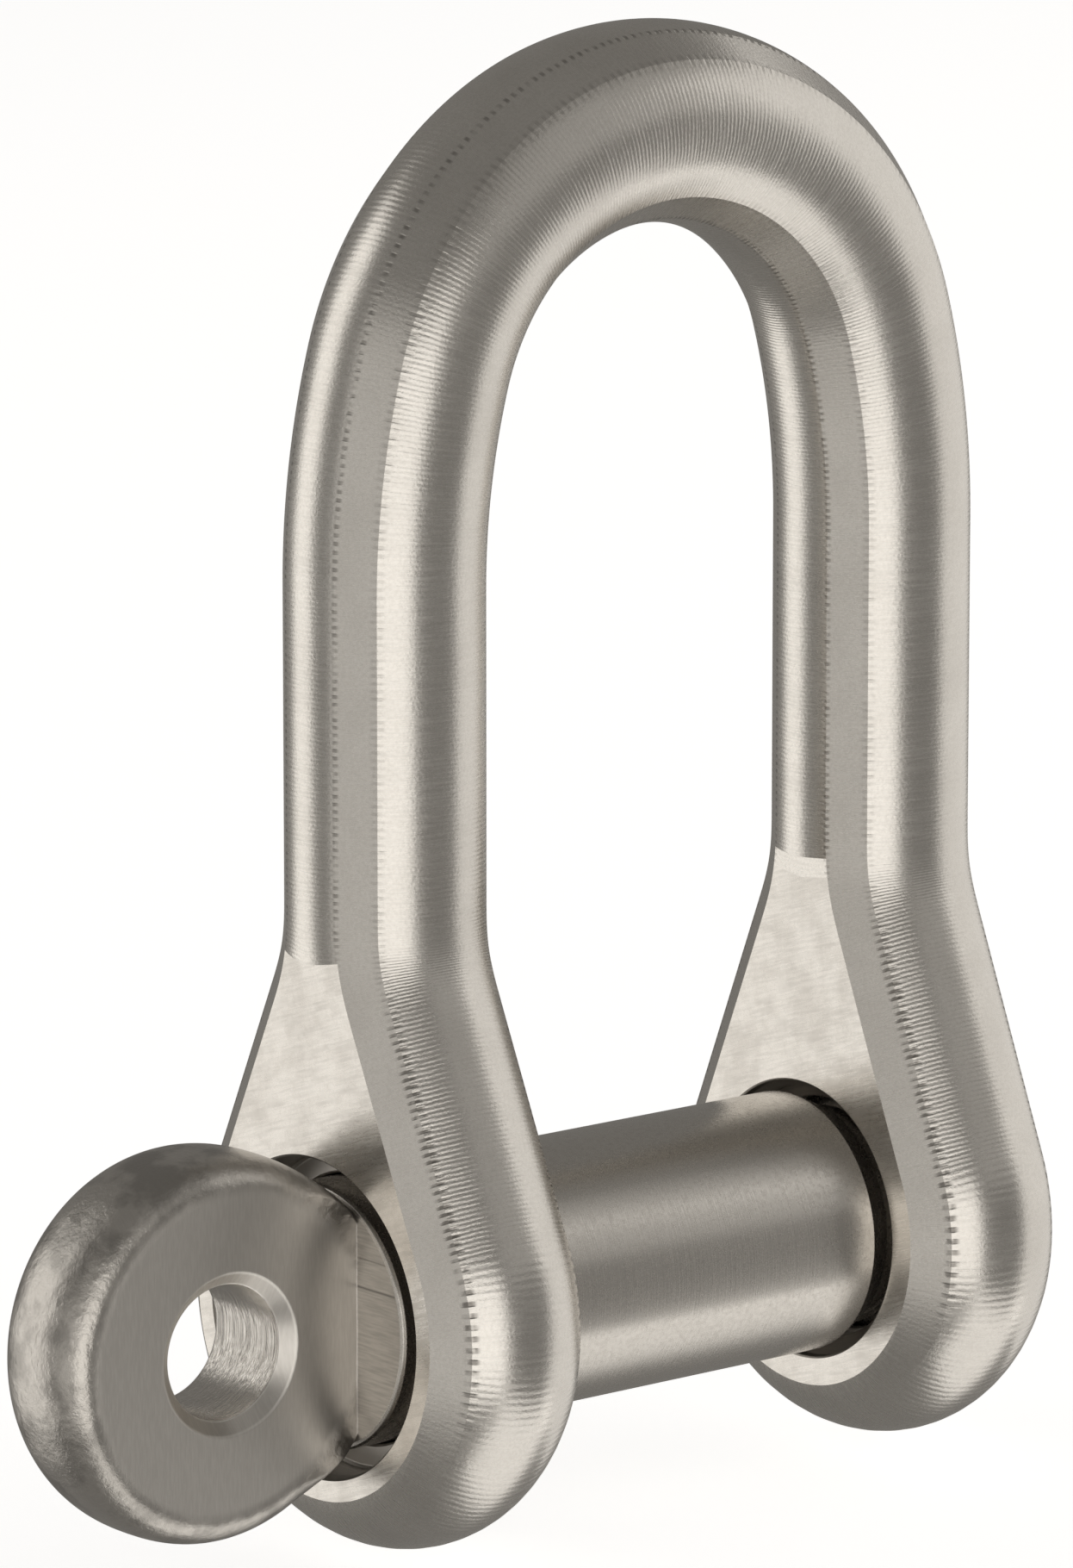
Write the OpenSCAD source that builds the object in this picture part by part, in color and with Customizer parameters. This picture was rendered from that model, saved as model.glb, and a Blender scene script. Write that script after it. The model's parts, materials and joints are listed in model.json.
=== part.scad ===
// Screw-pin shackle in stainless steel: a one-piece body and a one-piece pin with an eye head.
// Origin on the pin's axis, midway between the ears. +X runs along the pin to the tapped ear,
// +Z runs up the legs to the crown. All sizes are in mm.

/* [Body] */
// Clear width between the inner faces of the two ears
jaw_width = 20; // [18:0.5:26]
// Clear height from the top of the pin to the underside of the crown
clear_height = 41; // [36:1:60]
// Diameter of the bar that makes the legs and the crown
bar_d = 9; // [9]
// Radius of the crown's arc as a share of half the leg spacing
crown_ratio = 0.94; // [0.9:0.01:0.96]
// Angle of the machined facet strips away from the flat of the ear
facet_angle = 34; // [30:1:38]
// Depth of a facet strip under the round of the bar
facet_depth = 0.12; // [0.05:0.01:0.2]

/* [Ears] */
// Thickness of an ear between its two flats
ear_t = 8.3; // [8:0.1:8.6]
// Radius of the ear on the pin's head side
head_ear_r = 11; // [10.5, 11, 12]
// Radius of the tapped ear
tapped_ear_r = 10.5; // [10, 10.5, 11, 12]
// Height at which the ear's straight flanks meet the middle of the leg
shoulder_z = 15.5; // [15.5]
// Height of the top edge of an outer flat
outer_flat_z = 16; // [15:0.5:17]
// Height of the top edge of an inner flat
inner_flat_z = 17; // [15:0.5:18]
// Radius of the recess around the pin in the head-side ear
recess_r = 7.2; // [6.8:0.1:7.4]
// Depth of that recess
recess_depth = 2.5; // [1.5:0.5:4]
// Radius of the countersink on the inner face of the tapped ear
countersink_r = 6.4; // [6.4:0.1:7]

/* [Pin] */
// Diameter of the plain shaft, which is also the nominal thread size
pin_d = 12; // [11.5:0.1:12.2]
// Pitch of the thread
thread_pitch = 1.75; // [1.5:0.25:1.75]
// Clearance all round between the shaft and its bore
shaft_play = 0.08; // [0.05:0.01:0.1]
// Clearance all round between the two halves of the thread
thread_play = 0.06; // [0.05:0.01:0.1]
// Depth of the shaft's end face below the outer face of its ear
head_face_sink = 0.3; // [0:0.1:0.6]
// Distance from the shaft's end face to the middle of the eye
eye_reach = 7; // [6.5:0.1:8]
// Radius of the eye head
eye_r = 8.8; // [8.4:0.1:9.5]
// Thickness of the eye head
eye_t = 5.6; // [5:0.1:6.5]
// Radius of the rounding on the eye head's rim
eye_round = 1.8; // [1:0.1:2.2]
// Radius of the hole through the eye head
eye_hole_r = 3; // [2.5:0.1:3.4]
// Width of the chamfer at each end of that hole
eye_chamfer = 0.6; // [0.3:0.1:0.8]

/* [Hidden] */
$fn = 72;

steel_body = [0.72, 0.71, 0.69];
steel_pin = [0.66, 0.65, 0.63];

bar_r = bar_d / 2;
pin_r = pin_d / 2;
leg_x = (jaw_width + ear_t) / 2;
face_x = jaw_width / 2 + ear_t;

// Crown: one arc over the top, joined to each leg by a gentle side bend. The bend turns through
// the angle with sine 0.28 and cosine 0.96, so every centre below is a short exact number.
crown_r = round(crown_ratio * leg_x * 20) / 20;
side_bend_r = 25 * leg_x - 24 * crown_r;
top_z = pin_r + clear_height + bar_r;
crown_z = top_z - crown_r;
side_z = crown_z - 0.28 * (side_bend_r - crown_r);
leg_foot_z = 6;
web_t = (ear_t + bar_d) / 2;
reach = 100;

// Thread drawn plain at its pitch diameter.
thread_r = pin_r - 0.3248 * thread_pitch;
tapped_r = thread_r + thread_play;
lead_in = 0.6;
relief_r = pin_r - 0.62 * thread_pitch;
shaft_end_x = jaw_width / 2 - 0.56;
shaft_chamfer = 1.2;
chamfer_drop = 0.6;
relief_len = 1.5;
tip_x = face_x - 0.3;
tip_chamfer = 0.9;
shaft_start_x = head_face_sink - face_x;
eye_x = shaft_start_x - eye_reach;

// Section of the bar: a circle with four narrow facet strips beside its left and right sides.
module bar_section() {
    strip = bar_r - facet_depth;
    intersection() {
        circle(r = bar_r);
        polygon([
            [strip / cos(facet_angle), 0],
            [0, strip / sin(facet_angle)],
            [-strip / cos(facet_angle), 0],
            [0, -strip / sin(facet_angle)]
        ]);
    }
}

// Bar bent round a circle in the plane of the shackle, about the origin.
module ring(r) {
    rotate([90, 0, 0])
        rotate_extrude()
            translate([r, 0])
                bar_section();
}

// Keeps the part of a ring whose side view lies inside a polygon.
module keep(points) {
    intersection() {
        children();
        rotate([90, 0, 0])
            linear_extrude(height = 2 * bar_d, center = true)
                polygon(points);
    }
}

module crown() {
    translate([0, 0, crown_z])
        keep([[0, 0], [0.96 * reach, 0.28 * reach], [0.96 * reach, reach], [-0.96 * reach, reach],
              [-0.96 * reach, 0.28 * reach]])
            ring(crown_r);
}

// Leg on the +X side: the straight bar and its side bend.
module leg() {
    translate([leg_x, 0, leg_foot_z])
        linear_extrude(height = side_z - leg_foot_z)
            bar_section();
    translate([leg_x - side_bend_r, 0, side_z])
        keep([[0, 0], [reach, 0], [0.96 * reach, 0.28 * reach]])
            ring(side_bend_r);
}

// Half of an ear, on the +Y side: the round below and the straight flank up to the leg.
module half_ear(ear_r) {
    rim_r = ear_r - bar_r;
    tilt = asin(rim_r / shoulder_z);
    difference() {
        rotate([0, 90, 0])
            rotate_extrude()
                ear_rim(rim_r);
        translate([-bar_d, -2 * ear_r, -2 * ear_r])
            cube([2 * bar_d, 2 * ear_r, 4 * ear_r]);
        rotate([tilt, 0, 0])
            translate([-bar_d, -2 * ear_r, 0])
                cube([2 * bar_d, 4 * ear_r, 2 * ear_r]);
    }
    rotate([tilt, 0, 0])
        translate([0, rim_r, 0])
            linear_extrude(height = shoulder_z * cos(tilt))
                bar_section();
}

// Ear around the pin's axis, centred on x = 0, before its bores.
module ear(ear_r) {
    rim_r = ear_r - bar_r;
    tilt = asin(rim_r / shoulder_z);
    half_ear(ear_r);
    mirror([0, 1, 0])
        half_ear(ear_r);
    rotate([90, 0, 90])
        linear_extrude(height = web_t, center = true)
            polygon([
                [0, -0.5],
                [rim_r * cos(tilt), rim_r * sin(tilt)],
                [0, shoulder_z],
                [-rim_r * cos(tilt), rim_r * sin(tilt)]
            ]);
}

// Section of the ear's round below the pin: the bar with the web of the ear inside it.
module ear_rim(rim_r) {
    translate([rim_r, 0])
        rotate(90)
            bar_section();
    translate([0, -web_t / 2])
        square([rim_r, web_t]);
}

// Cuts an ear's two flats, centred on x = 0. Each stops at its own height up the leg.
module flat_cuts(outer) {
    wide = 4 * head_ear_r;
    for (side = [-1, 1]) {
        top = side == outer ? outer_flat_z : inner_flat_z;
        translate([side * (ear_t / 2 + bar_r / 2), 0, top - wide / 2])
            cube([bar_r, wide, wide], center = true);
    }
}

module side_of_body(side, ear_r) {
    translate([side * leg_x, 0, 0])
        difference() {
            union() {
                ear(ear_r);
                mirror([side < 0 ? 1 : 0, 0, 0])
                    translate([-leg_x, 0, 0])
                        leg();
            }
            flat_cuts(side);
        }
}

module x_cylinder(from, to, r1, r2) {
    translate([from, 0, 0])
        rotate([0, 90, 0])
            cylinder(h = to - from, r1 = r1, r2 = r2);
}

module shackle_body() {
    bore_r = pin_r + shaft_play;
    sink = countersink_r - tapped_r;
    color(steel_body)
        difference() {
            union() {
                crown();
                side_of_body(-1, head_ear_r);
                side_of_body(1, tapped_ear_r);
            }
            x_cylinder(-face_x - 1, -jaw_width / 2 + 1, bore_r, bore_r);
            x_cylinder(-face_x - 1, -face_x + recess_depth, recess_r, recess_r);
            x_cylinder(jaw_width / 2 - 1, face_x + 1, tapped_r, tapped_r);
            x_cylinder(jaw_width / 2 - 1, jaw_width / 2 + sink, countersink_r + 1, tapped_r);
            x_cylinder(face_x - lead_in, face_x + 1, tapped_r, tapped_r + lead_in + 1);
        }
}

// Eye head as a flat disc about its own centre, with a rounded rim.
module eye_disc() {
    inner = eye_t / 2 - eye_round;
    rotate([90, 0, 0])
        rotate_extrude() {
            translate([0, -eye_t / 2])
                square([eye_r - eye_round, eye_t]);
            translate([0, -inner])
                square([eye_r, 2 * inner]);
            for (side = [-1, 1])
                translate([eye_r - eye_round, side * inner])
                    circle(r = eye_round);
        }
}

module eye_hole() {
    rotate([90, 0, 0]) {
        cylinder(h = 2 * eye_t, r = eye_hole_r, center = true);
        for (side = [0, 1])
            mirror([0, 0, side])
                translate([0, 0, eye_t / 2 - eye_chamfer])
                    cylinder(h = 2 * eye_chamfer, r1 = eye_hole_r, r2 = eye_hole_r + 2 * eye_chamfer);
    }
}

module screw_pin() {
    relief_x = shaft_end_x + shaft_chamfer;
    thread_x = relief_x + relief_len;
    color(steel_pin)
        difference() {
            union() {
                x_cylinder(shaft_start_x, shaft_end_x, pin_r, pin_r);
                x_cylinder(shaft_end_x, relief_x, pin_r, pin_r - chamfer_drop);
                x_cylinder(relief_x, thread_x, relief_r, relief_r);
                x_cylinder(thread_x, tip_x - tip_chamfer, thread_r, thread_r);
                x_cylinder(tip_x - tip_chamfer, tip_x, thread_r, thread_r - tip_chamfer);
                translate([eye_x, 0, 0])
                    eye_disc();
            }
            translate([eye_x, 0, 0])
                eye_hole();
        }
}

shackle_body();
screw_pin();
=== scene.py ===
"""Screw-pin shackle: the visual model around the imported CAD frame.

Both CAD nodes are replaced by finer meshes of the same pieces, built ring by ring below. The body
gets smooth hollow blends into its ears and a real thread, and the pin gets a real thread as well.
"""
import bpy
import bmesh
import json
import math
import numpy as np
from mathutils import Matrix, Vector


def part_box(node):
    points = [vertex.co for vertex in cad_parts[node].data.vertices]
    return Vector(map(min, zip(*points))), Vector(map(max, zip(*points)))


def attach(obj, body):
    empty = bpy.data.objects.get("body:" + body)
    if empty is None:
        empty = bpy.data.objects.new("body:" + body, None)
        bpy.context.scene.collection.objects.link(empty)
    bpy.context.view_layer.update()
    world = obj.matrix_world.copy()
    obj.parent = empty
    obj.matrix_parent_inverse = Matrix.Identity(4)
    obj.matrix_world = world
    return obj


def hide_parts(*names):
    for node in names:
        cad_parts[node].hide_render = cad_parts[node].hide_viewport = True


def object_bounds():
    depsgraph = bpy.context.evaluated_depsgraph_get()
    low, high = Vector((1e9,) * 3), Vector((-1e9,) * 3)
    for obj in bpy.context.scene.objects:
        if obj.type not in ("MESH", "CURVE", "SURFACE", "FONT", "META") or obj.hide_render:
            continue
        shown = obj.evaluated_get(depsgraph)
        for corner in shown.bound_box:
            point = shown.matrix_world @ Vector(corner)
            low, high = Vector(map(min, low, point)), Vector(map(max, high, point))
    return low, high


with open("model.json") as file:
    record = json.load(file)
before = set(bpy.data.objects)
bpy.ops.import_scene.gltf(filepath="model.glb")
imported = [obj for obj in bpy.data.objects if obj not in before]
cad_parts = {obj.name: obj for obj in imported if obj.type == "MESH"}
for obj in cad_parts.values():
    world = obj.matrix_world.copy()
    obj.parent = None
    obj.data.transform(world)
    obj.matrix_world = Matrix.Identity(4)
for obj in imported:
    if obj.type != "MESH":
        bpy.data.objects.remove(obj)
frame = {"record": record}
bpy.context.view_layer.update()
cad_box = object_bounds()

MM = 0.001
TAU = 2 * math.pi


def rad(a):
    return math.radians(a)


# ---------------------------------------------------------------- sizes, all in mm
mounts = {m["name"]: m for m in frame["record"]["mounts"]}
body_lo, body_hi = (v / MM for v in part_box("shackle_body"))
pin_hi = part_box("screw_pin")[1] / MM

PIN_R = mounts["pin_shaft"]["dims"]["r_mm"]
EAR_T = 8.3
BAR_R = 4.5
HALF_T = EAR_T / 2
LEG_X = body_hi.x - BAR_R
FACE_X = LEG_X + HALF_T                 # outer flat of an ear
JAW_X = LEG_X - HALF_T
TOP_Z = body_hi.z
CROWN_R = 13.3
BEND_R = 25 * LEG_X - 24 * CROWN_R
CROWN_Z = TOP_Z - BAR_R - CROWN_R
BEND_Z = CROWN_Z - 0.28 * (BEND_R - CROWN_R)
BEND_A = math.asin(0.28)
HEAD_EAR_R = -body_lo.z
TAPPED_EAR_R = 10.5
SHOULDER_Z = 15.5
OUTER_LEDGE = 16.0
INNER_LEDGE = 17.0
HOLLOW_LEN = 6.0                        # length of the eased hollow between leg and ear
FACET_A = rad(34.9)                     # direction of a facet strip from the flat of the ear
FACET_D = 4.395                         # its distance from the bar's centre
BORE_R = 6.08
RECESS_R = 7.2
RECESS_D = 2.5
COUNTERSINK_R = 6.4
PITCH = 1.75
THREAD_MAJOR = 5.93
THREAD_MINOR = 5.02
HEAD_X = mounts["head_eye"]["pos_m"][0] / MM
EYE_R = 8.8
EYE_T = 5.6
EYE_HOLE_R = mounts["head_eye"]["dims"]["r_mm"]
SHAFT_X0 = -FACE_X + 0.3
SHAFT_X1 = JAW_X - 0.56
TIP_X = pin_hi.x
EDGE_BREAK = 0.1                        # small chamfer round the bores
EYE_FACE_R = 7.25                       # flat part of the eye head
FADE_START = rad(-20)                   # the facet strips fade out between these two directions
FADE_END = rad(-78)
MARK_PITCH = 0.21                       # cutter marks across the bar
TOOTH_PITCH = 0.34                      # teeth along the strips
SHARP = rad(9)                          # edges sharper than this stay crisp


# ---------------------------------------------------------------- mesh helper
class Builder:
    """Collects points and faces in mm, with named values per point, and makes one object in metres."""

    def __init__(self):
        self.points, self.faces, self.tags, self.values = [], [], [], []

    def row(self, pts, vals=None):
        start = len(self.points)
        self.points.extend([tuple(p) for p in pts])
        self.values.extend(vals if vals is not None else [(0.0, 0.0)] * len(pts))
        return list(range(start, start + len(pts)))

    def band(self, a, b, tag, closed=True):
        n = len(a)
        for i in range(n if closed else n - 1):
            j = (i + 1) % n
            self.faces.append((a[i], a[j], b[j], b[i]))
            self.tags.append(tag)

    def mesh(self, name, merge=2e-4):
        bm = bmesh.new()
        path = bm.verts.layers.float.new("path")
        turn = bm.verts.layers.float.new("turn")
        zone = bm.faces.layers.int.new("zone")
        verts = []
        for p, v in zip(self.points, self.values):
            q = bm.verts.new((p[0], p[1], p[2]))
            q[path], q[turn] = v
            verts.append(q)
        for f, t in zip(self.faces, self.tags):
            ids = []
            for i in f:
                if i not in ids:
                    ids.append(i)
            if len(ids) < 3:
                continue
            try:
                face = bm.faces.new([verts[i] for i in ids])
            except ValueError:
                continue
            face[zone] = t
        bmesh.ops.remove_doubles(bm, verts=bm.verts, dist=merge)
        bmesh.ops.dissolve_degenerate(bm, edges=bm.edges, dist=merge)
        loose = [v for v in bm.verts if not v.link_faces]
        bmesh.ops.delete(bm, geom=loose, context="VERTS")
        bmesh.ops.recalc_face_normals(bm, faces=bm.faces)
        for v in bm.verts:
            v.co *= MM
        for f in bm.faces:
            f.smooth = True
        for e in bm.edges:
            if len(e.link_faces) == 2:
                e.smooth = e.calc_face_angle(0) < SHARP
        mesh = bpy.data.meshes.new(name)
        bm.to_mesh(mesh)
        bm.free()
        obj = bpy.data.objects.new(name, mesh)
        bpy.context.scene.collection.objects.link(obj)
        return obj


# ---------------------------------------------------------------- the bar's section
FLAT_EDGE = math.atan2(HALF_T * math.cos(math.pi / 2 - FACET_A),
                       FACET_D - HALF_T * math.sin(math.pi / 2 - FACET_A))
FACET_HALF = math.acos(FACET_D / BAR_R)
FACET_MID = math.pi / 2 - FACET_A
QUARTER = 24                            # steps from the outline to the flat of the bar
EDGE_STEP = 16                          # the step at which a flat's edge comes


def section_radius(phi, half):
    """Distance of the skin from the bar's centre. half is the facet's half angle, 0 once it has faded."""
    a = abs(abs(phi) - FACET_MID)
    if abs(phi) > math.pi / 2 or half < 1e-4 or a > half:
        return BAR_R
    return BAR_R * math.cos(half) / math.cos(a)


def quarter_angles(half):
    edge = FLAT_EDGE if half > FLAT_EDGE - FACET_MID else math.asin(HALF_T / BAR_R)
    e0 = FACET_MID - half
    e1 = min(FACET_MID + half, edge)
    top = max(FACET_MID + half, edge + rad(0.6))
    out = [e0 * i / 8 for i in range(8)]
    out += [e0 + (e1 - e0) * i / 6 for i in range(6)]
    out += [e1, (e1 + edge) / 2, edge]
    out += [top + (math.pi / 2 - top) * i / 7 for i in range(8)]
    return out


def half_section(half):
    """(x, y, angle) from the inner side round the outline to the outer side, 49 points."""
    q = quarter_angles(half)
    angles = [-a for a in reversed(q[1:])] + q
    return [(section_radius(a, half) * math.sin(a), section_radius(a, half) * math.cos(a), a)
            for a in angles]


FULL = half_section(FACET_HALF)


# ---------------------------------------------------------------- the shackle's body
def smooth(t):
    t = min(max(t, 0.0), 1.0)
    return t * t * (3 - 2 * t)


def clamp_flat(pts, outer, inner):
    out = []
    for x, y in pts:
        if outer and x > HALF_T:
            x = HALF_T
        if inner and x < -HALF_T:
            x = -HALF_T
        out.append((x, y))
    return out


def ear_path(ear_r):
    """Rows down one side of an ear, and the row numbers of its inner and outer ledges.

    A row is its centre's y and z, the outline's direction, the path length and the facet's half angle.
    """
    rim = ear_r - BAR_R
    tilt = math.asin(rim / SHOULDER_Z)
    # the direction turns smoothly from straight down to the tilt of the flank
    parts = 240
    y = drop = 0.0
    trail = [(0.0, 0.0, 0.0)]
    for i in range(parts):
        a = tilt * smooth((i + 0.5) / parts)
        y += math.sin(a) * HOLLOW_LEN / parts
        drop += math.cos(a) * HOLLOW_LEN / parts
        trail.append((y, drop, tilt * smooth((i + 1) / parts)))
    start_z = SHOULDER_Z + y / math.sin(tilt)

    def nearest(z):
        return min(range(parts), key=lambda i: abs(start_z - trail[i][1] - z))

    inner, outer = nearest(INNER_LEDGE), nearest(OUTER_LEDGE)
    picks = [round(inner * i / 6) for i in range(7)]
    picks += [inner + round((outer - inner) * i / 4) for i in range(1, 5)]
    picks += [outer + round((parts - outer) * i / 14) for i in range(1, 15)]
    rows = []
    for i in picks:
        y, drop, a = trail[i]
        rows.append((y, start_z - drop, a, INNER_LEDGE - start_z + HOLLOW_LEN * i / parts, FACET_HALF))
    ledge_rows = (6, 10)
    y0, z0, s = rows[-1][0], rows[-1][1], rows[-1][3]
    y1, z1 = rim * math.cos(tilt), rim * math.sin(tilt)
    length = math.hypot(y1 - y0, z1 - z0)
    steps = 44
    for i in range(1, steps + 1):
        t = i / steps
        rows.append((y0 + (y1 - y0) * t, z0 + (z1 - z0) * t, tilt, s + length * t, FACET_HALF))
    s += length
    steps = 88
    for i in range(1, steps + 1):
        b = tilt + (-math.pi / 2 - tilt) * i / steps
        half = FACET_HALF * (1 - smooth((FADE_START - b) / (FADE_START - FADE_END)))
        rows.append((rim * math.cos(b), rim * math.sin(b), b, s + rim * (tilt - b), half))
    return rows, ledge_rows


def thread_radius(turns, minor, major):
    """Radius of a rounded 60 degree thread at a point given in turns along it."""
    t = abs((turns % 1.0) - 0.5) * 2       # 0 in the middle of the crest, 1 in the root
    if t < 0.16:
        return major
    if t > 0.78:
        return minor
    return major + (minor - major) * (t - 0.16) / 0.62


def build_body():
    b = Builder()
    for side in (-1, 1):
        ear_r = HEAD_EAR_R if side < 0 else TAPPED_EAR_R

        def place(x, y, z):
            return (side * (LEG_X + x), y, z)

        def loop(cy, cz, ang, s, half, outer, inner):
            sec = half_section(half)
            pts = clamp_flat([(p[0], p[1]) for p in sec], outer, inner)
            near = [place(x, cy + y * math.cos(ang), cz + y * math.sin(ang)) for x, y in pts]
            far = [(p[0], -p[1], p[2]) for p in reversed(near)]
            turn = [p[2] for p in sec]
            return near + far, [(s, t) for t in turn] + [(s, t) for t in reversed(turn)]

        def bar_loop(cx, cz, nx, nz, s):
            near = [(cx + x * nx, y, cz + x * nz) for x, y, _ in FULL]
            far = [(p[0], -p[1], p[2]) for p in reversed(near)]
            turn = [p[2] for p in FULL]
            return near + far, [(s, t) for t in turn] + [(s, t) for t in reversed(turn)]

        ear_rows, (inner_row, outer_row) = ear_path(ear_r)
        leg_foot = ear_rows[0][1]
        # crown, side bend and leg, from the top of the crown down to where the hollow begins
        bend = BEND_R * BEND_A
        straight = BEND_Z - INNER_LEDGE
        rows = []
        steps = 52
        for i in range(steps):
            a = math.pi / 2 + (BEND_A - math.pi / 2) * i / steps
            rows.append((CROWN_R * math.cos(a) * side, CROWN_Z + CROWN_R * math.sin(a),
                         math.cos(a) * side, math.sin(a),
                         -straight - bend - CROWN_R * (a - BEND_A)))
        steps = 20
        for i in range(steps):
            a = BEND_A * (1 - i / steps)
            rows.append((side * (LEG_X - BEND_R + BEND_R * math.cos(a)), BEND_Z + BEND_R * math.sin(a),
                         math.cos(a) * side, math.sin(a), -straight - BEND_R * a))
        steps = 24
        for i in range(steps + 1):
            z = BEND_Z + (leg_foot - BEND_Z) * i / steps
            rows.append((side * LEG_X, z, side, 0.0, INNER_LEDGE - z))
        last = None
        for cx, cz, nx, nz, s in rows:
            pts, vals = bar_loop(cx, cz, nx, nz, s)
            ids = b.row(pts, vals)
            if last:
                b.band(last, ids, 0)
            last = ids

        # the hollow down to the outer ledge, with a step in the skin at each ledge
        for i, row in enumerate(ear_rows[1:outer_row + 1], 1):
            pts, vals = loop(*row, False, i > inner_row)
            ids = b.row(pts, vals)
            b.band(last, ids, 0)
            last = ids
            if i in (inner_row, outer_row):
                pts, vals = loop(*row, i == outer_row, True)
                ids = b.row(pts, vals)
                b.band(last, ids, 4)
                last = ids
        n = len(FULL)
        near, far = ids[:n], list(reversed(ids[n:]))
        lo, hi = QUARTER - EDGE_STEP, QUARTER + EDGE_STEP
        caps = {1: near[hi:] + far[hi:][::-1], 2: near[:lo + 1][::-1] + far[:lo + 1]}
        rim_near = {1: [], 2: []}
        rim_far = {1: [], 2: []}
        last_near, last_far = near[lo:hi + 1], far[lo:hi + 1]
        for cy, cz, ang, s, half in ear_rows[outer_row + 1:]:
            pts, vals = loop(cy, cz, ang, s, half, True, True)
            near_p, near_v = pts[lo:hi + 1], vals[lo:hi + 1]
            ids_n = b.row(near_p, near_v)
            b.band(last_near, ids_n, 0, closed=False)
            bottom = (cy, cz, ang, s, half) == ear_rows[-1]
            if bottom:
                ids_f = ids_n
            else:
                ids_f = b.row([(p[0], -p[1], p[2]) for p in near_p], near_v)
            b.band(ids_f, last_far, 0, closed=False)
            last_near, last_far = ids_n, ids_f
            for key, k in ((1, -1), (2, 0)):
                rim_near[key].append(ids_n[k])
                if not bottom:
                    rim_far[key].append(ids_f[k])

        # the two flats, as rings of points from their outline in to the bores
        rings = {}
        for key in (1, 2):
            # along the ledge, down the far side and back up the near side
            outline = caps[key] + rim_far[key] + rim_near[key][::-1]
            face_x = HALF_T if key == 1 else -HALF_T
            if side < 0:
                hole = RECESS_R + EDGE_BREAK if key == 1 else BORE_R + EDGE_BREAK
            else:
                hole = THREAD_MAJOR + 0.6 if key == 1 else COUNTERSINK_R + EDGE_BREAK
            start = [b.points[i] for i in outline]
            angles = [math.atan2(p[2], p[1]) for p in start]
            last = outline
            for t in (0.3, 0.65, 1.0):
                pts = [place(face_x, p[1] + (hole * math.cos(a) - p[1]) * t,
                             p[2] + (hole * math.sin(a) - p[2]) * t) for p, a in zip(start, angles)]
                ids = b.row(pts)
                b.band(last, ids, key)
                last = ids
            rings[key] = (last, angles)

        # bores, from the outer flat to the inner one
        last, angles = rings[1]
        if side < 0:
            profile = [(HALF_T - EDGE_BREAK, RECESS_R), (HALF_T - RECESS_D / 2, RECESS_R),
                       (HALF_T - RECESS_D + 0.15, RECESS_R),
                       (HALF_T - RECESS_D, RECESS_R - 0.15),
                       (HALF_T - RECESS_D, BORE_R + EDGE_BREAK), (HALF_T - RECESS_D - EDGE_BREAK, BORE_R)]
            profile += [(HALF_T - RECESS_D - 1 - i, BORE_R) for i in range(4)]
            profile += [(-HALF_T + EDGE_BREAK, BORE_R)]
            for x, r in profile:
                ids = b.row([place(x, r * math.cos(a), r * math.sin(a)) for a in angles])
                b.band(last, ids, 3)
                last = ids
        else:
            rows_n = 150
            x0, x1 = HALF_T, -HALF_T
            for i in range(1, rows_n):
                x = x0 + (x1 - x0) * i / rows_n
                mouth = (x0 - x) if x0 - x < 0.6 else 0.6
                lead = THREAD_MAJOR + 0.6 - mouth
                sink = COUNTERSINK_R + EDGE_BREAK - max(0.1, x - x1 - 0.4)
                pts = []
                for a in angles:
                    turns = (side * (LEG_X + x)) / PITCH - a / TAU + 0.5
                    r = thread_radius(turns, THREAD_MINOR + 0.42, THREAD_MAJOR + 0.09)
                    r = max(r, sink if x - x1 < 2.2 else 0.0, lead if x0 - x < 0.9 else 0.0)
                    pts.append(place(x, r * math.cos(a), r * math.sin(a)))
                ids = b.row(pts)
                b.band(last, ids, 3)
                last = ids
        b.band(last, rings[2][0], 3)
    return b.mesh("shackle_body_skin")


# ---------------------------------------------------------------- the pin
def revolve(b, profile, spin, tag, steps, close=False):
    """Rows of a shape turned about a line. spin(item, a) gives the point for a profile item at an angle."""
    last = first = None
    for item in profile:
        ids = b.row([spin(item, TAU * i / steps) for i in range(steps)])
        if last:
            b.band(last, ids, tag)
        last, first = ids, first or ids
    if close:
        b.band(last, first, tag)
    return first, last


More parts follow.
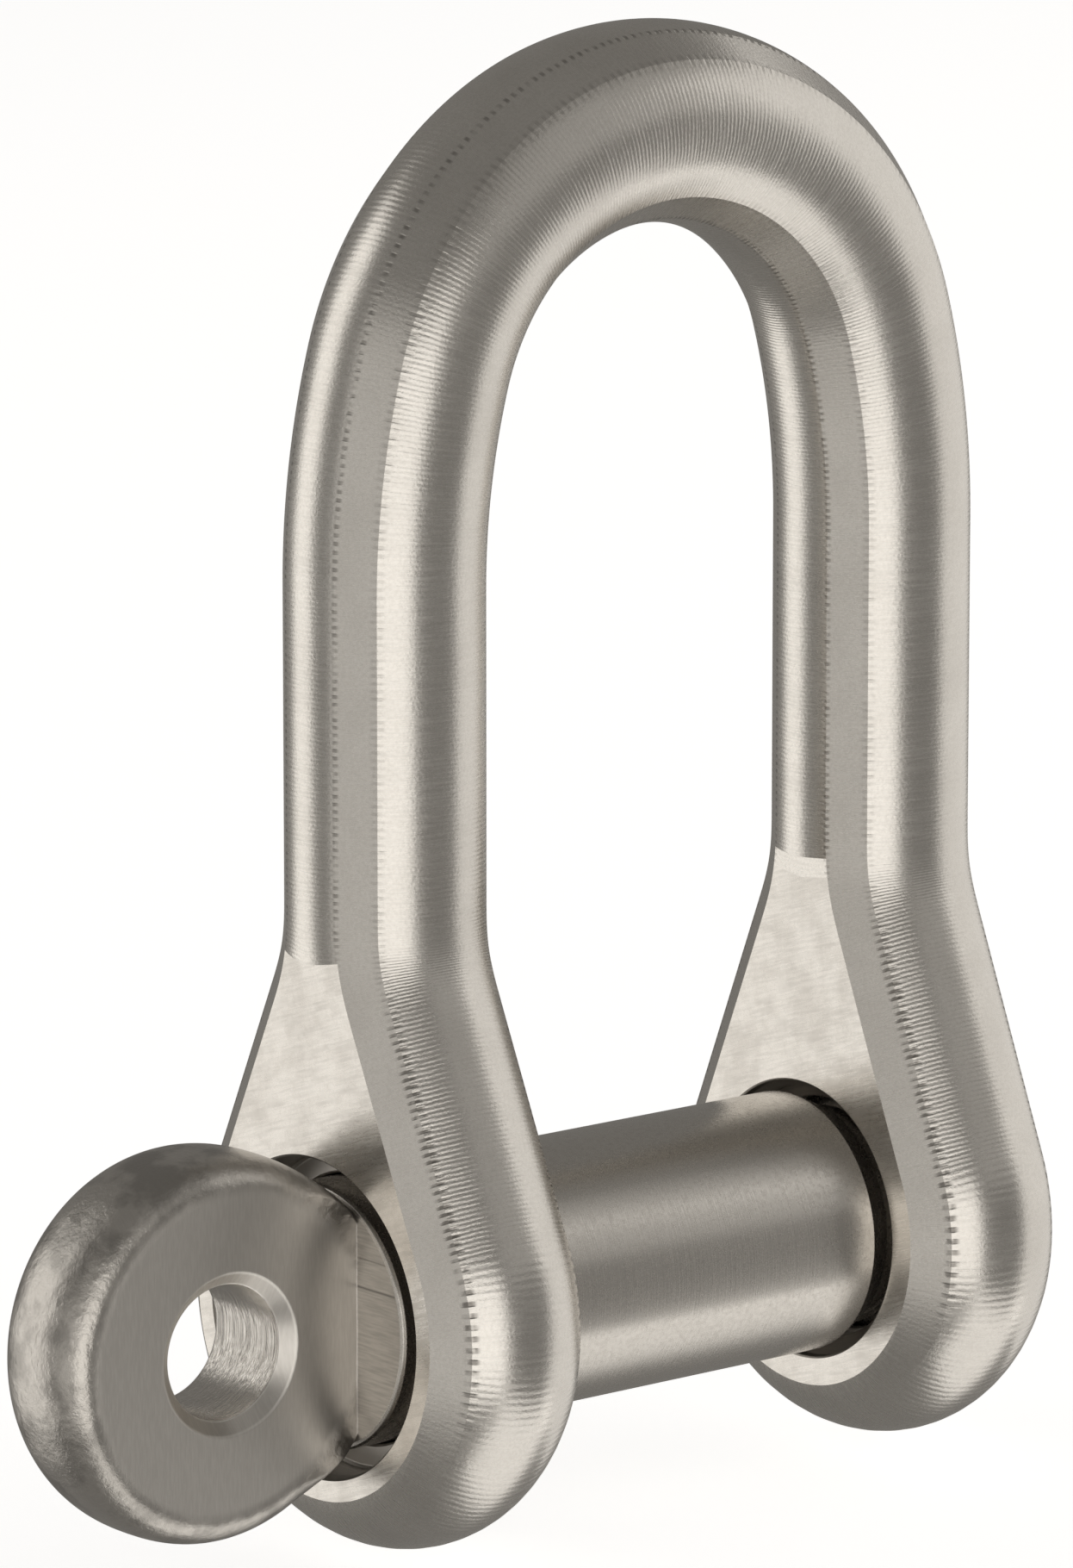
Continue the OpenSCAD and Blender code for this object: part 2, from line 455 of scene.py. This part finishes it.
def build_shaft():
    b = Builder()
    steps = 160

    def spin(item, a):
        x, r = item
        if callable(r):
            r = r(x, a)
        return (x, r * math.cos(a), r * math.sin(a))

    x0, x1 = SHAFT_X0, SHAFT_X1
    chamfer_x, thread_x = x1 + 1.2, x1 + 2.7
    relief = PIN_R - 0.62 * PITCH
    profile = [(x0, 0.6), (x0, 2.4), (x0, 4.6), (x0, PIN_R - 0.22), (x0 + 0.06, PIN_R - 0.08),
               (x0 + 0.22, PIN_R)]
    n = 28
    profile += [(x0 + 0.22 + (x1 - x0 - 0.3) * i / n, PIN_R) for i in range(1, n + 1)]
    profile += [(x1, PIN_R - 0.04), (chamfer_x, PIN_R - 0.6), (chamfer_x + 0.05, relief + 0.1),
                (chamfer_x + 0.2, relief), (thread_x, relief)]

    def thread(x, a):
        r = thread_radius(x / PITCH - a / TAU + 0.5, THREAD_MINOR, THREAD_MAJOR)
        r = min(r, relief + (x - thread_x) * 1.4)
        return min(r, THREAD_MAJOR - 0.95 + (TIP_X - x) * 1.0)

    rows = 150
    profile += [(thread_x + (TIP_X - thread_x) * i / rows, thread) for i in range(1, rows + 1)]
    end = THREAD_MAJOR - 0.95
    profile += [(TIP_X, end - 0.5), (TIP_X, 2.4), (TIP_X, 0.6)]
    first, last = revolve(b, profile, spin, 1, steps)
    for ids, x in ((first, x0), (last, TIP_X)):
        mid = b.row([(x, 0.0, 0.0)])
        for i in range(steps):
            b.faces.append((ids[i], ids[(i + 1) % steps], mid[0]))
            b.tags.append(1)
    return b.mesh("pin_shaft_blank")


def build_eye():
    b = Builder()
    steps = 192
    half, hole, face = EYE_T / 2, EYE_HOLE_R, EYE_FACE_R
    chamfer = 0.6
    side = [(hole, 0.0), (hole, half * 0.4), (hole, half - chamfer - 0.08), (hole + 0.03, half - chamfer),
            (hole + chamfer, half - 0.05), (hole + chamfer + 0.1, half)]
    side += [(hole + chamfer + 0.1 + (face - hole - chamfer - 0.1) * i / 10, half) for i in range(1, 11)]
    n = 16
    for i in range(1, n + 1):
        t = math.pi / 2 * i / n
        side.append((face + (EYE_R - face) * math.sin(t) ** 0.9, half * math.cos(t) ** 0.72))
    profile = side + [(r, -y) for r, y in side[::-1][1:-1]]

    def spin(item, a):
        r, y = item
        if r > face:
            squarer = smooth((math.cos(a) - 0.45) / 0.3)
            start = face + (EYE_R - 0.4 - face) * squarer
            r = start + (r - face) / (EYE_R - face) * (EYE_R + rim_swell(a) - start)
        return (HEAD_X + r * math.cos(a), y, r * math.sin(a))

    revolve(b, profile, spin, 2, steps, close=True)
    return b.mesh("pin_eye_blank")


def rim_swell(a):
    """The eye's rim is hand finished and a little out of round."""
    return 0.06 * math.cos(2 * a + 0.6) + 0.05 * math.cos(3 * a - 1.1)


def build_pin():
    shaft, eye = build_shaft(), build_eye()
    mod = shaft.modifiers.new("join", "BOOLEAN")
    mod.operation, mod.solver, mod.object = "UNION", "EXACT", eye
    bpy.context.view_layer.update()
    deps = bpy.context.evaluated_depsgraph_get()
    mesh = bpy.data.meshes.new_from_object(shaft.evaluated_get(deps))
    for old in (shaft, eye):
        data = old.data
        bpy.data.objects.remove(old)
        bpy.data.meshes.remove(data)
    bm = bmesh.new()
    bm.from_mesh(mesh)
    bmesh.ops.remove_doubles(bm, verts=bm.verts, dist=2e-7)
    bmesh.ops.dissolve_degenerate(bm, edges=bm.edges, dist=2e-7)
    for f in bm.faces:
        f.smooth = True
    for e in bm.edges:
        if len(e.link_faces) == 2:
            e.smooth = e.calc_face_angle(0) < SHARP
    bm.to_mesh(mesh)
    bm.free()
    obj = bpy.data.objects.new("screw_pin_skin", mesh)
    bpy.context.scene.collection.objects.link(obj)
    return obj


body = build_body()
pin = build_pin()
for piece, node, owner, slot in ((body, "shackle_body", "body", "body_steel"),
                                 (pin, "screw_pin", "pin", "pin_steel")):
    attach(piece, owner)
    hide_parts(node)


# ---------------------------------------------------------------- node helpers
class Nodes:
    """Short names for wiring shader nodes."""

    def __init__(self, tree):
        self.tree = tree
        tree.nodes.clear()

    def add(self, kind, **props):
        node = self.tree.nodes.new(kind)
        for k, v in props.items():
            setattr(node, k, v)
        return node

    def link(self, value, socket):
        if hasattr(value, "is_output"):
            self.tree.links.new(value, socket)
        else:
            socket.default_value = value

    def math(self, op, a, b=0.0, c=0.0, clamp=False):
        n = self.add("ShaderNodeMath", operation=op, use_clamp=clamp)
        for i, v in enumerate((a, b, c)):
            if i < len(n.inputs):
                self.link(v, n.inputs[i])
        return n.outputs[0]

    def band(self, value, lo, hi, to_lo=0.0, to_hi=1.0):
        n = self.add("ShaderNodeMapRange", interpolation_type="SMOOTHSTEP")
        for i, v in enumerate((value, lo, hi, to_lo, to_hi)):
            self.link(v, n.inputs[i])
        return n.outputs[0]

    def noise(self, vector, scale, detail=2.0, rough=0.5):
        n = self.add("ShaderNodeTexNoise", noise_dimensions="3D")
        self.link(vector, n.inputs["Vector"])
        n.inputs["Scale"].default_value = scale
        n.inputs["Detail"].default_value = detail
        n.inputs["Roughness"].default_value = rough
        return n.outputs["Fac"]

    def mix(self, fac, a, b):
        n = self.add("ShaderNodeMix", data_type="RGBA")
        self.link(fac, n.inputs[0])
        for v, i in ((a, 6), (b, 7)):
            self.link(v if hasattr(v, "is_output") else (*v, 1.0), n.inputs[i])
        return n.outputs[2]

    def xyz(self, x, y, z):
        n = self.add("ShaderNodeCombineXYZ")
        for i, v in enumerate((x, y, z)):
            self.link(v, n.inputs[i])
        return n.outputs[0]

    def attribute(self, name):
        return self.add("ShaderNodeAttribute", attribute_name=name).outputs["Fac"]

    def place(self):
        """Object coordinates in mm, as a vector and as x, y, z."""
        co = self.add("ShaderNodeTexCoord").outputs["Object"]
        mul = self.add("ShaderNodeVectorMath", operation="SCALE")
        self.link(co, mul.inputs[0])
        mul.inputs["Scale"].default_value = 1 / MM
        sep = self.add("ShaderNodeSeparateXYZ")
        self.link(mul.outputs[0], sep.inputs[0])
        return mul.outputs[0], sep.outputs


def steel(name, make):
    """A stainless material. make(n) returns colour, roughness and a list of (height in mm, strength)."""
    mat = bpy.data.materials.new(name)
    mat.use_nodes = True
    n = Nodes(mat.node_tree)
    colour, rough, heights, edge = make(n)
    shader = n.add("ShaderNodeBsdfPrincipled")
    shader.inputs["Metallic"].default_value = 1.0
    n.link(colour, shader.inputs["Base Color"])
    n.link(rough, shader.inputs["Roughness"])
    normal = None
    if edge:
        bev = n.add("ShaderNodeBevel", samples=6)
        bev.inputs["Radius"].default_value = edge * MM
        normal = bev.outputs[0]
    for height, strength in heights:
        bump = n.add("ShaderNodeBump")
        bump.inputs["Strength"].default_value = strength
        bump.inputs["Distance"].default_value = MM
        n.link(height, bump.inputs["Height"])
        if normal:
            n.link(normal, bump.inputs["Normal"])
        normal = bump.outputs[0]
    if normal:
        n.link(normal, shader.inputs["Normal"])
    out = n.add("ShaderNodeOutputMaterial")
    n.link(shader.outputs[0], out.inputs[0])
    return mat


STEEL = (0.80, 0.77, 0.725)
# a darker steel tone: random tone on the body and eye, and painted shade in the bores, on the shaft and on
# its end face
STEEL_TONE_AND_SHADE = (0.56, 0.53, 0.49)
# the darkest colour: painted shade in the bores, on the ledge walls and on the shaft's end face, and the
# colour of the stains on the eye's rim
SHADE_AND_STAIN = (0.30, 0.285, 0.265)


def skin(n):
    """The milled round of the bar: fine cutter marks across it, and toothed lines beside the strips,
    notched in the bump and darkened with painted shade.
    """
    place, (x, y, z) = n.place()
    path, turn = n.attribute("path"), n.attribute("turn")
    wob = n.noise(place, 0.9, 3.0)
    along = n.math("ADD", path, n.math("MULTIPLY", wob, 0.10))
    lean = n.math("MULTIPLY", turn, 0.10)
    phase = n.math("MULTIPLY", n.math("ADD", along, lean), TAU / MARK_PITCH)
    wave = n.math("SINE", phase)
    grit = n.noise(n.xyz(n.math("MULTIPLY", path, 9.0), n.math("MULTIPLY", turn, 2.2), 0.0), 1.0, 4.0, 0.65)
    patch = n.noise(place, 0.35, 3.0)
    height = n.math("ADD", n.math("MULTIPLY", wave, 0.0024), n.math("MULTIPLY", grit, 0.007))
    # the strips are ground smoother
    a = n.math("ABSOLUTE", n.math("SUBTRACT", n.math("ABSOLUTE", turn), FACET_MID))
    strip = n.band(a, FACET_HALF - 0.01, FACET_HALF + 0.01, 1.0, 0.0)
    height = n.math("MULTIPLY", height, n.math("SUBTRACT", 1.0, n.math("MULTIPLY", strip, 0.75)))
    # teeth along the strip's outer edge, deepest on the ears' flanks, notched in the bump and darkened with
    # painted shade in the notches
    outer = n.math("SUBTRACT", n.math("ABSOLUTE", turn), FACET_MID - FACET_HALF)
    near = n.band(n.math("ABSOLUTE", outer), 0.03, 0.10, 1.0, 0.0)
    on_ear = n.math("MULTIPLY", n.band(z, 12.0, 16.0, 1.0, 0.3), n.band(z, -5.0, 0.0))
    worn = n.band(n.noise(place, 1.6, 2.0), 0.3, 0.6, 0.25, 1.0)
    near = n.math("MULTIPLY", near, n.math("MULTIPLY", on_ear, worn))
    # up the legs the marks sit on the strip's other edge instead, as a fine dotted line of painted shade
    # along the crease
    inner = n.math("SUBTRACT", n.math("ABSOLUTE", turn), FACET_MID + FACET_HALF)
    dots = n.math("MULTIPLY", n.band(n.math("ABSOLUTE", inner), 0.01, 0.05, 0.7, 0.0), worn)
    near = n.math("MAXIMUM", near, n.math("MULTIPLY", dots, n.band(z, 15.0, 18.0)))
    teeth = n.math("SINE", n.math("MULTIPLY", path, TAU / TOOTH_PITCH))
    notch_and_shade = n.math("MULTIPLY", near, n.band(teeth, -0.2, 0.7))
    colour = n.mix(n.band(patch, 0.35, 0.75, 0.0, 0.22), STEEL, STEEL_TONE_AND_SHADE)
    grain = n.noise(place, 7.0, 2.0, 0.6)
    colour = n.mix(n.band(grain, 0.35, 0.7, 0.0, 0.25), colour, STEEL_TONE_AND_SHADE)
    # painted shade: the teeth and dots are darkened nearly to black, as the shade in the notches along the
    # crease
    colour = n.mix(n.math("MULTIPLY", notch_and_shade, 0.8), colour, (0.16, 0.145, 0.13))
    height = n.math("SUBTRACT", height, n.math("MULTIPLY", notch_and_shade, 0.02))
    height = n.math("ADD", height, n.math("MULTIPLY", grain, 0.008))
    rough = n.band(grit, 0.2, 0.9, 0.23, 0.34)
    return colour, rough, [(height, 1.0)], 0.0


def flat(n):
    """The ears' ground flats: faint slanting grinding marks, specks and soft blotches."""
    place, (x, y, z) = n.place()
    across = n.math("ADD", z, n.math("MULTIPLY", y, 0.35))
    marks = n.noise(n.xyz(n.math("MULTIPLY", across, 7.0), n.math("MULTIPLY", y, 0.6), x), 1.0, 3.0, 0.6)
    blot = n.noise(place, 0.55, 4.0, 0.6)
    speck = n.noise(place, 6.0, 3.0, 0.6)
    colour = n.mix(n.band(blot, 0.35, 0.70, 0.15, 0.65), STEEL, STEEL_TONE_AND_SHADE)
    colour = n.mix(n.band(speck, 0.5, 0.75, 0.0, 0.3), colour, STEEL_TONE_AND_SHADE)
    rough = n.band(marks, 0.3, 0.8, 0.24, 0.36)
    height = n.math("ADD", n.math("MULTIPLY", marks, 0.004), n.math("MULTIPLY", speck, 0.003))
    return colour, rough, [(height, 1.0)], 0.0


def bore(n):
    """Turned and tapped faces inside the ears, painted dark as the shade inside the bores."""
    place, (x, y, z) = n.place()
    rings = n.noise(n.xyz(n.math("MULTIPLY", x, 7.0), 0.0, 0.0), 1.0, 3.0, 0.6)
    # painted shade: the bore's colour runs between the two darkest tones, for the shade inside the ears
    colour = n.mix(rings, SHADE_AND_STAIN, STEEL_TONE_AND_SHADE)
    return colour, 0.38, [(n.math("MULTIPLY", rings, 0.01), 1.0)], 0.08


def shaft(n):
    """The turned shaft and thread: very fine rings round the axis, lightly handled, with its colour painted
    darker than the body's steel as shade between the ears.
    """
    place, (x, y, z) = n.place()
    rings = n.noise(n.xyz(n.math("MULTIPLY", x, 10.0), 0.0, 0.0), 1.0, 4.0, 0.7)
    fine = n.noise(place, 4.0, 3.0, 0.6)
    # painted shade: the shaft's colour sits 40 to 70 percent of the way to the darker tone, with a random
    # mottle
    colour = n.mix(n.band(fine, 0.3, 0.8, 0.4, 0.7), STEEL, STEEL_TONE_AND_SHADE)
    height = n.math("ADD", n.math("MULTIPLY", rings, 0.006), n.math("MULTIPLY", fine, 0.0015))
    return colour, n.band(fine, 0.2, 0.9, 0.22, 0.32), [(height, 1.0)], 0.06


def shaft_end(n):
    """The shaft's end face beside the eye: a coarse, duller milled face with two passes of the cutter, its
    colour painted dark as shade between the eye and the ear, with a painted shadow line along the first
    pass.
    """
    place, (x, y, z) = n.place()
    passes = n.math("ADD", n.band(z, 1.9, 2.0, 0.0, 0.06), n.band(z, 3.2, 3.3, 0.0, 0.05))
    marks = n.noise(n.xyz(n.math("MULTIPLY", y, 0.6), 0.0, n.math("MULTIPLY", z, 8.0)), 1.0, 3.0, 0.6)
    # painted shadow: a dark line along the step of the first cutter pass
    line = n.band(n.math("ABSOLUTE", n.math("SUBTRACT", z, 1.95)), 0.03, 0.12, 0.7, 0.0)
    # painted shade: the face runs from the darker tone down to the darkest
    colour = n.mix(n.band(marks, 0.3, 0.7, 0.1, 0.6), STEEL_TONE_AND_SHADE, SHADE_AND_STAIN)
    colour = n.mix(line, colour, SHADE_AND_STAIN)
    height = n.math("ADD", n.math("MULTIPLY", passes, 0.5), n.math("MULTIPLY", marks, 0.006))
    return colour, 0.42, [(height, 1.0)], 0.0


def head(n):
    """The eye head: ground faces, and a tumbled rim with small pits."""
    place, (x, y, z) = n.place()
    r = n.math("SQRT", n.math("ADD", n.math("POWER", n.math("SUBTRACT", x, HEAD_X), 2.0),
                              n.math("POWER", z, 2.0)))
    rim = n.band(r, EYE_FACE_R - 0.3, EYE_FACE_R + 0.5)
    hole = n.band(r, EYE_HOLE_R + 0.02, EYE_HOLE_R + 0.1, 1.0, 0.0)
    pits = n.noise(place, 2.6, 5.0, 0.7)
    lumps = n.noise(place, 0.8, 3.0, 0.5)
    ground = n.noise(n.xyz(n.math("MULTIPLY", x, 9.0), y, n.math("MULTIPLY", z, 1.2)), 1.0, 4.0, 0.6)
    feed = n.noise(n.xyz(n.math("MULTIPLY", y, 6.0), x, 0.0), 1.0, 3.0, 0.7)
    relief = n.math("ADD", n.math("MULTIPLY", pits, 0.045), n.math("MULTIPLY", lumps, 0.06))
    height = n.math("ADD", n.math("MULTIPLY", relief, rim), n.math("MULTIPLY", ground, 0.004))
    height = n.math("ADD", height, n.math("MULTIPLY", n.math("MULTIPLY", feed, hole), 0.07))
    cloud = n.noise(place, 0.45, 4.0, 0.6)
    stain = n.math("MULTIPLY", n.band(cloud, 0.42, 0.62, 0.0, 0.6), rim)
    colour = n.mix(n.band(ground, 0.35, 0.7, 0.35, 0.1), STEEL, STEEL_TONE_AND_SHADE)
    colour = n.mix(n.math("MULTIPLY", rim, 0.5), colour, STEEL_TONE_AND_SHADE)
    colour = n.mix(stain, colour, SHADE_AND_STAIN)
    rough = n.math("SUBTRACT", 0.36, n.math("MULTIPLY", rim, 0.08))
    rough = n.math("SUBTRACT", rough, n.math("MULTIPLY", hole, 0.16))
    return colour, rough, [(height, 1.0)], 0.12


skin_mats = [steel(name, make) for name, make in
             (("milled_round", skin), ("ground_flat", flat), ("turned_bore", bore))]
for mat in skin_mats:
    body.data.materials.append(mat)
# the ledge walls (zone 4) take the dark bore material too: painted shade on the small steps at the tops of
# the flats
zone_of = {0: 0, 1: 1, 2: 1, 3: 2, 4: 2}
zones = body.data.attributes["zone"].data
for poly in body.data.polygons:
    poly.material_index = zone_of[zones[poly.index].value]
for mat in (steel("turned_shaft", shaft), steel("tumbled_eye", head), steel("milled_end", shaft_end)):
    pin.data.materials.append(mat)
for poly in pin.data.polygons:
    x = poly.center.x / MM
    poly.material_index = 1 if x < SHAFT_X0 - 0.01 else 2 if x < SHAFT_X0 + 0.01 else 0

# ---------------------------------------------------------------- studio
scene = bpy.context.scene
scene.view_settings.view_transform = "Standard"

CAM_BEARING = rad(39.384)
CAM_HEIGHT = rad(11.7)
CAM_DISTANCE = 454.3 * MM
CAM_TARGET = (Vector(cad_box[0]) + Vector(cad_box[1])) / 2 + Vector((2.04, 0.0, -0.16)) * MM
back = Vector((-math.sin(CAM_BEARING) * math.cos(CAM_HEIGHT),
               -math.cos(CAM_BEARING) * math.cos(CAM_HEIGHT), math.sin(CAM_HEIGHT)))
cam_data = bpy.data.cameras.new("camera")
cam_data.lens = 235.01
cam_data.sensor_width = 36.0
cam_data.clip_start, cam_data.clip_end = 0.01, 20.0
camera = bpy.data.objects.new("camera", cam_data)
camera.location = CAM_TARGET + back * CAM_DISTANCE
camera.rotation_euler = back.to_track_quat("Z", "Y").to_euler()
scene.collection.objects.link(camera)
scene.camera = camera

# a dim even room, with a plain white backdrop behind the object
ROOM = (0.19, 0.183, 0.172)
BACKDROP = (1.0, 1.0, 1.0)
world = bpy.data.worlds.new("studio")
scene.world = world
world.use_nodes = True
w = Nodes(world.node_tree)
backdrop = w.add("ShaderNodeBackground")
seen = w.add("ShaderNodeLightPath").outputs["Is Camera Ray"]
w.link(w.mix(seen, ROOM, BACKDROP), backdrop.inputs["Color"])
w.link(backdrop.outputs[0], w.add("ShaderNodeOutputWorld").inputs[0])

FLOOR_GLOW = 0.74
LIGHT_DISTANCE = 0.6
LIGHT_WARMTH = (1.0, 0.975, 0.935)


def soft_box(name, bearing, rise, width, tall, brightness):
    """A soft light facing the object.

    bearing is from the camera's side, positive to the picture's right, and rise is up from level,
    both in degrees. Sizes are in metres.
    """
    around = rad(bearing) - CAM_BEARING
    lift = rad(rise)
    data = bpy.data.lights.new(name, "AREA")
    data.shape = "RECTANGLE"
    data.size, data.size_y = width, tall
    data.energy = brightness * math.pi * width * tall
    data.color = LIGHT_WARMTH
    box = bpy.data.objects.new(name, data)
    away = Vector((math.sin(around) * math.cos(lift), -math.cos(around) * math.cos(lift), math.sin(lift)))
    box.location = CAM_TARGET + away * LIGHT_DISTANCE
    box.rotation_euler = away.to_track_quat("Z", "Y").to_euler()
    scene.collection.objects.link(box)


soft_box("front_box", 8, -8, 0.55, 0.6, 1.0)
soft_box("left_box", -105, 0, 0.35, 1.0, 0.95)
soft_box("right_box", 120, 0, 0.75, 1.0, 0.6)
soft_box("top_box", 70, 35, 0.6, 0.5, 0.15)
soft_box("fill_box", -42, -5, 0.45, 0.8, 0.32)
soft_box("low_box", 70, -60, 0.7, 0.5, 0.75)

floor_data = bpy.data.meshes.new("floor")
half, low = 4.0, (body_lo.z - 0.02) * MM
floor_data.from_pydata([(-half, -half, low), (half, -half, low), (half, half, low), (-half, half, low)],
                       [], [(0, 1, 2, 3)])
floor = bpy.data.objects.new("floor", floor_data)
scene.collection.objects.link(floor)
floor_mat = bpy.data.materials.new("pale_floor")
floor_mat.use_nodes = True
g = Nodes(floor_mat.node_tree)
diffuse = g.add("ShaderNodeBsdfDiffuse")
diffuse.inputs["Color"].default_value = (0.9, 0.9, 0.9, 1.0)
glow = g.add("ShaderNodeEmission")
glow.inputs["Strength"].default_value = FLOOR_GLOW
both = g.add("ShaderNodeAddShader")
g.link(diffuse.outputs[0], both.inputs[0])
g.link(glow.outputs[0], both.inputs[1])
g.link(both.outputs[0], g.add("ShaderNodeOutputMaterial").inputs[0])
floor_data.materials.append(floor_mat)
# the steel mirrors the room and its soft boxes, not the floor right under it
floor.visible_glossy = False
floor.visible_shadow = False
